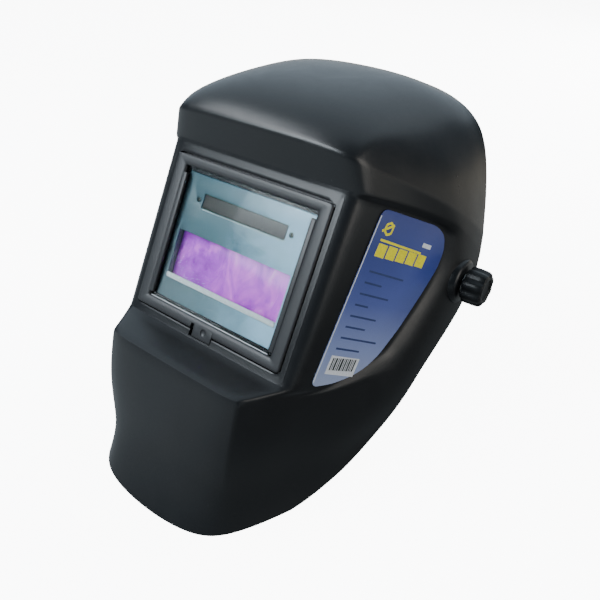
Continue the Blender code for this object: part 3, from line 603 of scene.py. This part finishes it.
def flat_sheet(name, outline, lift, thickness, side, material, *replaced, edge=0.0):
    """A thin sheet on the side panel, from (y, z) points."""
    bm = bmesh.new()
    near = [bm.verts.new((side * label_x(y, z, lift), y, z)) for y, z in outline]
    far = [bm.verts.new((side * label_x(y, z, lift + thickness), y, z)) for y, z in outline]
    bm.faces.new(near)
    bm.faces.new(far[::-1])
    for k in range(len(outline)):
        n = (k + 1) % len(outline)
        bm.faces.new((near[k], far[k], far[n], near[n]))
    obj = thing(name, bm, BENCH)
    if edge:
        bevel(obj, edge, 2, 50)
    settled(obj)
    piece(obj, "face_shell", material, "label", *replaced)


def slanted(y, z, width, height, along, up):
    """A bar's corners: it starts at (y, z) and runs along and up the label's own slant."""
    return [(y + along[0] * a + up[0] * b, z + along[1] * a + up[1] * b)
            for a, b in ((0, 0), (width, 0), (width, height), (0, height))]


def hexagon(y, z, width, height):
    angles = [2 * math.pi * k / 6 + 0.4 for k in range(6)]
    return [(y + width * math.cos(a), z + height * math.sin(a)) for a in angles]


def label_marks():
    """(name, y, z, width, height, material) of each printed bar, none of them a letter."""
    marks = [(f"title_{k + 1}", 30.2 + 9.6 * k, 32.0, 8.3, 8.6, YELLOW) for k in range(5)]
    marks.append(("title_rule", 30.6, 42.0, 40.0, 1.5, YELLOW))
    marks.append(("code", 69.5, 45.5, 8.6, 3.0, PALE))
    for k, length in enumerate((33, 16, 27, 12, 24, 18, 33, 21)):
        marks.append((f"line_{k + 1}", 31.0 - 0.55 * k, 21.5 - 7.6 * k, length, 1.3, NAVY))
    marks.append(("panel", 25.2, -49.0, 25.5, 13.0, PALE))
    start = 27.4
    for k, width in enumerate((1.0, 0.5, 1.4, 0.6, 0.9, 1.6, 0.5, 1.1, 0.6, 1.3, 0.8, 0.5, 1.2)):
        marks.append((f"stripe_{k + 1}", start, -46.2, width, 8.6, BLACK_INK))
        start += width + 0.75
    return marks


def label(side):
    name = f"label_{'left' if side > 0 else 'right'}"
    outline = rounded_outline(
        [(24.0, 61.6), (77, 61.6), (87, 57.5), (92.2, 48), (92.6, 35), (86.5, 14), (77.5, -12),
         (67.5, -33.5), (58.5, -43.8), (47, -51), (34, -56), (17.8, -59.0)], 6.0)
    flat_sheet(f"{name}_sheet", outline, LABEL_LIFT, LABEL_T, side, LABEL, name, edge=0.15)
    edge = [(24.0, 57.0), (24.7, 57.0), (19.0, -55.5), (18.3, -55.5)]
    flat_sheet(f"{name}_pale_edge", edge, PRINT_LIFT, PRINT_T, side, PALE)
    ring = rounded_outline(hexagon(34.5, 50.5, 4.4, 4.9), 1.0)
    core = rounded_outline(hexagon(34.5, 50.5, 2.7, 3.1), 0.8)
    bar = slanted(29.4, 47.6, 10.6, 1.5, (0.86, 0.5), (-0.5, 0.86))
    flat_sheet(f"{name}_emblem", ring, PRINT_LIFT, PRINT_T, side, YELLOW)
    flat_sheet(f"{name}_emblem_core", core, PRINT_LIFT + 0.06, PRINT_T, side, LABEL)
    flat_sheet(f"{name}_emblem_bar", bar, PRINT_LIFT + 0.12, PRINT_T, side, YELLOW)
    for mark, y, z, width, height, material in label_marks():
        lift = PRINT_LIFT + (0.07 if mark.startswith("stripe") else 0.0)
        outline = slanted(y, z, width, height, (1.0, -0.04), (0.06, 1.0))
        flat_sheet(f"{name}_{mark}", outline, lift, PRINT_T, side, material)


def lens_frame():
    """The swinging frame, with its hinge pins and the gap that the latch tab fills."""
    outer = (RECESS_W / 2 - FRAME_GAP, RECESS_TOP - 0.8, RECESS_FOOT + FRAME_GAP)
    rail = (outer[0] - OPENING_W / 2, outer[1] - OPENING_TOP, OPENING_FOOT - outer[2])

    def section(t, y):
        return (outer[0] - rail[0] * t, outer[1] - rail[1] * t, outer[2] + rail[2] * t, 2.4 - 1.3 * t, y)

    profile = [(0, 3.9), (0, 0.1), (0.02, -0.35), (0.06, -0.65), (0.12, -0.8), (0.34, -0.8), (0.60, -0.74),
               (0.80, -0.5), (0.92, -0.15), (0.98, 0.3), (1.0, 0.8), (1.0, 2.0), (0.60, 2.0), (0.60, 3.9)]
    obj = thing("lens_frame_skin", loft([section(t, y) for t, y in profile], True), BENCH)
    helpers = []
    for side in (-1, 1):
        start, end = sorted((side * (outer[0] - 2), side * 66.3))
        pin = turned(((1.0, start), (1.0, end)), "X", 20, (0, 1.2, 53.4))
        boolean(obj, helpers, "UNION", pin, BENCH)
    boolean(obj, helpers, "DIFFERENCE", block((NOTCH_RIGHT, -3, -60), (8.8, 1.9, -51.4)), BENCH)
    settled(obj)
    removed(helpers)
    piece(obj, "lens_door", FRAME, "lens_frame", "lens_frame")


def latch_tab():
    tab = thing("latch_tab", block((-8.5, -0.75, -59.9), (8.6, 2.6, -50.9)), BENCH)
    bevel(tab, 0.45, 3)
    settled(tab)
    helpers = []
    bowl = [(0.1, -2.0), (3.0, -1.2), (2.5, -0.45), (1.7, -0.05), (0.1, 0.1)]
    boolean(tab, helpers, "DIFFERENCE", turned(bowl, "Y", 28, (1, 0, -54.6)), BENCH)
    settled(tab)
    removed(helpers)
    piece(tab, "lens_door", FRAME, "lens_frame")


def lens_door():
    lens_frame()
    for side in (-1, 1):
        low, high = sorted((side * 53.4, side * 57.3))
        lip = thing(f"lens_lip_{'left' if side > 0 else 'right'}",
                    block((low, -0.55, -44.8), (high, 2.1, 42.6)), BENCH)
        bevel(lip, 0.7, 3)
        piece(settled(lip), "lens_door", FRAME, "lens_frame")
    latch_tab()
    refined("cover_lens", 0.35, LENS, "cover_lens_plate")
    rim = thing("cover_lens_rim", block((-56.0, 1.5, -47.7), (53.0, 2.2, -47.25)), BENCH)
    bevel(rim, 0.15, 2)
    piece(settled(rim), "lens_door", PALE, NODE_SLOT["cover_lens"])


def filter_face():
    """What shows through the lens: case front, solar cell, window, sealant bead, and a pale line by the cell
    that is a painted highlight.
    """
    # The case front wears the filter face material, whose pale corner is a painted reflection.
    refined("filter_front_housing", 0.7, FACE_WITH_PAINTED_REFLECTION, "filter_front_face", segments=3)
    for node, width, material in (
            ("filter_rear_housing", 0.7, INNER), ("view_bezel", 0.2, BEZEL),
            ("uv_ir_filter_glass", 0.2, VIOLET), ("lcd_shutter", 0.2, SHUTTER), ("solar_cell", 0.3, SOLAR),
            ("circuit_board", 0.15, BOARD),
            ("light_sensor_left", 0.3, SHUTTER), ("light_sensor_right", 0.3, SHUTTER),
            ("battery_left", 0.5, NICKEL), ("battery_right", 0.5, NICKEL),
            ("inner_cover_lens", 0.2, INNER_LENS), ("cartridge_holder", 0.8, FRAME),
            ("holder_screw_left", 0.3, STEEL), ("holder_screw_right", 0.3, STEEL),
            ("sensitivity_dial", 0.4, GRIP), ("delay_dial", 0.4, GRIP)):
        refined(node, width, material)
    bead = thing("sealant_bead", block((-49.3, 3.95, -31.0), (49.3, 5.2, -27.3)), BENCH)
    bevel(bead, 0.5, 3)
    piece(settled(bead), "face_shell", SEALANT, "view_bezel")
    # A painted highlight: a thin pale line by the solar cell.
    line = thing("cell_painted_highlight", block((-35, 4.35, 21.9), (35.5, 4.75, 22.5)), BENCH)
    bevel(line, 0.1, 2)
    piece(settled(line), "face_shell", EDGE_LIGHT, "filter_housing")


# ---------------------------------------------------------------- harness side

def knob_waves(lobes, depth):
    """Rounded lobes with hollows between them, depth of the radius deep."""
    def waves(angle, radius):
        return radius * (1 - depth * (0.5 - 0.5 * math.cos(lobes * angle)) ** 1.5)
    return waves


def tension_knob(word, side):
    profile = [(12.2, 119.6), (13.0, 120.2), (13.4, 121.4), (13.5, 124.0), (13.4, 129.5), (13.1, 132.2),
               (12.3, 133.9), (11.0, 134.7), (8.8, 134.8), (7.8, 134.4), (7.2, 133.6), (2.0, 133.3)]
    grip = turned([(r, side * x) for r, x in profile], "X", 96, waves=knob_waves(8, 0.11))
    place = Matrix.Translation(PIVOT)
    obj = thing(f"tension_grip_{word}", grip, place @ Matrix.Rotation(-LEAN, 4, "X"))
    helpers = []
    for radius, depth in ((3.6, 128.5), (7.2, 124.2)):
        bore = turned(((radius, side * 110), (radius, side * depth)), "X", 24)
        boolean(obj, helpers, "DIFFERENCE", bore, place)
    settled(obj, 32)
    removed(helpers)
    piece(obj, f"{word}_knob", GRIP, "knob", f"tension_knob_{word}")
    refined(f"knob_nut_{word}", 0.3, BRASS)


def ratchet_knob():
    profile = [(15.4, 86.4), (16.4, 87.0), (17.0, 88.2), (17.0, 99.6), (16.6, 100.9), (15.6, 101.7),
               (14.0, 102.0), (12.6, 101.6), (11.8, 100.8), (2.0, 100.4)]
    obj = thing("ratchet_grip", turned(profile, "Y", 128, waves=knob_waves(16, 0.055)), NAPE)
    helpers = []
    boolean(obj, helpers, "DIFFERENCE", turned(((3.4, 80), (3.4, 93.0)), "Y", 24), NAPE)
    settled(obj, 32)
    removed(helpers)
    piece(obj, "ratchet", GRIP, "knob", "ratchet_knob")
    refined("ratchet_pinion", 0.15, STEEL)


def knobs():
    for word, side in (("left", 1), ("right", -1)):
        tension_knob(word, side)
    ratchet_knob()


PAD_DRAWN_IN, PAD_SWELL, PAD_PRESSURE, PAD_FRAMES, PAD_FILL = 0.5, 1.3, 2.5, 15, 0.8


def padding(name, node, material):
    """A foam pad: the CAD solid drawn in a little, remeshed and inflated as cloth, then smoothed."""
    bm = bmesh.new()
    bm.from_mesh(frame["nodes"][node].data)
    bmesh.ops.remove_doubles(bm, verts=bm.verts, dist=2e-6)
    bmesh.ops.scale(bm, vec=(1 / MM,) * 3, verts=bm.verts)
    obj = thing(name, bm, Matrix.Identity(4))
    remesh = obj.modifiers.new("remesh", "REMESH")
    remesh.mode, remesh.voxel_size = "VOXEL", 0.0016
    drawn = obj.modifiers.new("drawn in", "DISPLACE")
    drawn.strength, drawn.mid_level = -PAD_DRAWN_IN * MM, 0.0
    settled(obj, 180)
    rest = [v.co.copy() for v in obj.data.vertices]
    cloth = obj.modifiers.new("cloth", "CLOTH")
    cloth.settings.use_pressure = True
    cloth.settings.uniform_pressure_force = PAD_PRESSURE
    cloth.settings.effector_weights.gravity = 0.0
    cloth.settings.quality = 4
    for number in range(1, PAD_FRAMES + 1):
        bpy.context.scene.frame_set(number)
    graph = bpy.context.evaluated_depsgraph_get()
    moved = bpy.data.meshes.new_from_object(obj.evaluated_get(graph))
    obj.modifiers.clear()
    bpy.context.scene.frame_set(1)
    for vert, old, new in zip(obj.data.vertices, rest, moved.vertices):
        step = new.co - old
        vert.co = old + step * min(1.0, PAD_SWELL * MM / max(step.length, 1e-9))
    bpy.data.meshes.remove(moved)
    smooth = obj.modifiers.new("smooth", "CORRECTIVE_SMOOTH")
    smooth.iterations = 4
    smooth.use_only_smooth = True
    finer = obj.modifiers.new("finer", "SUBSURF")
    finer.levels = finer.render_levels = 1
    settled(obj, 180)
    piece(obj, "headgear", material, NODE_SLOT[node], node)


def harness():
    padding("sweatband_pad", "sweatband", FOAM)
    padding("nape_cushion", "nape_pad", PAD)
    table = {"head_band": (0.4, GEAR), "crown_strap": (0.35, GEAR), "crown_stud": (0.5, GEAR),
             "side_bracket": (0.5, GEAR), "bracket_rivet": (0.4, STEEL), "pivot_bolt": (0.4, STEEL),
             "limit_plate": (0.3, GEAR), "friction_washer": (0.5, RUBBER), "steel_washer": (0.2, STEEL),
             "nape_strap": (0.3, GEAR), "ratchet_housing": (0.6, GEAR), "ratchet_cover": (0.5, GEAR)}
    for start, (width, material) in table.items():
        for node in sorted(frame["nodes"]):
            if node.startswith(start):
                refined(node, width, material)


# ---------------------------------------------------------------- stage

PALE_GLOW, SKY_GLOW, SKY_DIM = 9.0, 9.3, 0.12
SKY_BLUE = (0.36, 0.68, 1.0)
DARK_SPOT = (0.40, -0.06, 0)
MIDDLE = Vector((0, -0.03, 0.13))
# name, direction from the middle, distance, size, watts, colour, whether reflections show it
STUDIO = (
    ("top_softbox", (-0.33, 0.61, 0.72), 1.2, (2.5, 2.5), 19, (0.76, 0.89, 1.0), True),
    ("front_softbox", (-0.36, -0.72, 0.60), 1.5, (0.9, 0.6), 24, (0.84, 0.93, 1.0), True),
    ("ridge_strip", (-0.50, -0.40, 0.77), 1.5, (1.1, 0.3), 13, (0.90, 0.95, 1.0), True),
    ("rear_fill", (0.35, 1.0, 0.30), 1.3, (1.2, 1.0), 34, (1, 1, 1), False),
    ("side_fill", (1.0, 0.0, 0.36), 1.6, (1.0, 1.0), 11, (1.0, 0.95, 0.88), True),
)


def light(name, direction, distance, size, power, colour, mirrored):
    """An area light that faces the helmet's middle and that the camera doesn't see."""
    data = bpy.data.lights.new(name, "AREA")
    data.shape, data.size, data.size_y = "RECTANGLE", *size
    data.energy, data.color = power, colour
    obj = bpy.data.objects.new(name, data)
    bpy.context.scene.collection.objects.link(obj)
    obj.location = MIDDLE + Vector(direction) * distance
    obj.rotation_euler = (MIDDLE - obj.location).to_track_quat("-Z", "Y").to_euler()
    obj.visible_camera = False
    obj.visible_glossy = mirrored


def floor_look():
    """Pale to the camera. Reflections see it dim: darkest to the left, cool in front, warm behind."""
    material = bpy.data.materials.new("pale_floor")
    material.use_nodes = True
    tree = material.node_tree
    tree.nodes.clear()
    pale = grow(tree, "ShaderNodeBsdfDiffuse", {"Color": (0.8, 0.8, 0.8, 1)})
    glow = grow(tree, "ShaderNodeEmission", {"Strength": PALE_GLOW})
    lit = grow(tree, "ShaderNodeAddShader", {0: pale.outputs[0], 1: glow.outputs[0]})
    where = grow(tree, "ShaderNodeNewGeometry").outputs["Position"]
    apart = grow(tree, "ShaderNodeVectorMath", {0: where, 1: DARK_SPOT}, operation="DISTANCE")
    away = grow(tree, "ShaderNodeMapRange",
                {"Value": apart.outputs["Value"], "From Min": 0.12, "From Max": 0.75, "To Min": 0.10,
                 "To Max": 0.78}, interpolation_type="SMOOTHSTEP")
    back = grow(tree, "ShaderNodeSeparateXYZ", {0: where}).outputs["Y"]
    tint = ramped(tree, back, ((0, (0.80, 0.92, 1.0)), (1, (1.0, 0.93, 0.78))))
    dim = grow(tree, "ShaderNodeEmission", {"Color": tint, "Strength": away.outputs["Result"]})
    seen = grow(tree, "ShaderNodeLightPath").outputs["Is Camera Ray"]
    chosen = grow(tree, "ShaderNodeMixShader", {0: seen, 1: dim.outputs[0], 2: lit.outputs[0]})
    grow(tree, "ShaderNodeOutputMaterial", {"Surface": chosen.outputs[0]})
    return material


def sky():
    """White to the camera, and dim blue to everything else."""
    world = bpy.data.worlds.new("studio")
    bpy.context.scene.world = world
    world.use_nodes = True
    tree = world.node_tree
    back = tree.nodes["Background"]
    seen = grow(tree, "ShaderNodeLightPath").outputs["Is Camera Ray"]
    span = grow(tree, "ShaderNodeMapRange", {"Value": seen, "To Min": SKY_DIM, "To Max": SKY_GLOW})
    tree.links.new(span.outputs["Result"], back.inputs["Strength"])
    tree.links.new(ramped(tree, seen, ((0, SKY_BLUE), (1, (1, 1, 1)))), back.inputs["Color"])


def stage():
    bm = bmesh.new()
    bmesh.ops.create_grid(bm, x_segments=2, y_segments=2, size=6000)
    floor = thing("floor", bm, Matrix.Identity(4), closed=False)
    floor.data.materials.append(floor_look())
    sky()
    for row in STUDIO:
        light(*row)


def camera():
    data = bpy.data.cameras.new("camera")
    data.lens, data.sensor_width = 37.95, 36.0
    obj = bpy.data.objects.new("camera", data)
    bpy.context.scene.collection.objects.link(obj)
    back = -Vector((-0.501, 0.643, -0.579)).normalized()
    right = Vector((0.789, 0.614, 0)).normalized()
    up = back.cross(right)
    obj.matrix_world = Matrix.Translation((0.25657, -0.32747, 0.37410)) @ Matrix(
        (right, up, back)).transposed().to_4x4()
    bpy.context.scene.camera = obj


shell()
for side in (-1, 1):
    label(side)
lens_door()
filter_face()
knobs()
harness()
stage()
camera()
